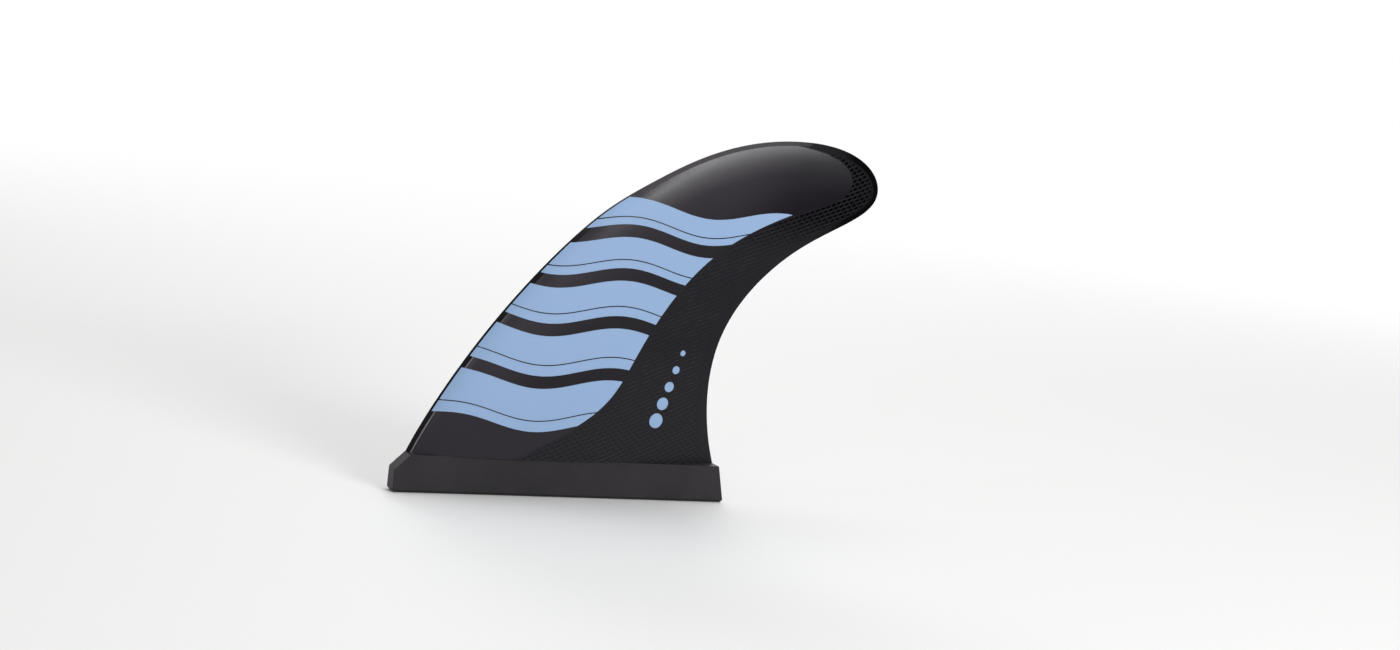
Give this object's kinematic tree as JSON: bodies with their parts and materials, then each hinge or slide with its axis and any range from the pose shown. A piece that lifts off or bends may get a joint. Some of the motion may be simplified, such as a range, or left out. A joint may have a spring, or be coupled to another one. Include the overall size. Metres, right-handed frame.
{
  "type": "surfboard side fin",
  "caption": "Raked and canted side fin for a surfboard: flat inner face, foiled outer face, rounded tip, and a long base tab with a sloped screw seat.",
  "frame": {"origin": "middle of the base tab's flat bottom face", "axes": "+X runs aft from the leading edge to the trailing edge, +Z from the tab up the blade, and -Y is the side that the foiled face looks to; the flat inner face looks to +Y"},
  "size_m": [0.1625, 0.0157, 0.1277],
  "materials": {
    "moulded_composite": "dark grey-black moulded composite, satin panel, fine woven texture behind it, light blue printed bars on the foiled face"
  },
  "bodies": {
    "root": {"fin": "moulded_composite"}
  },
  "joints": []
}
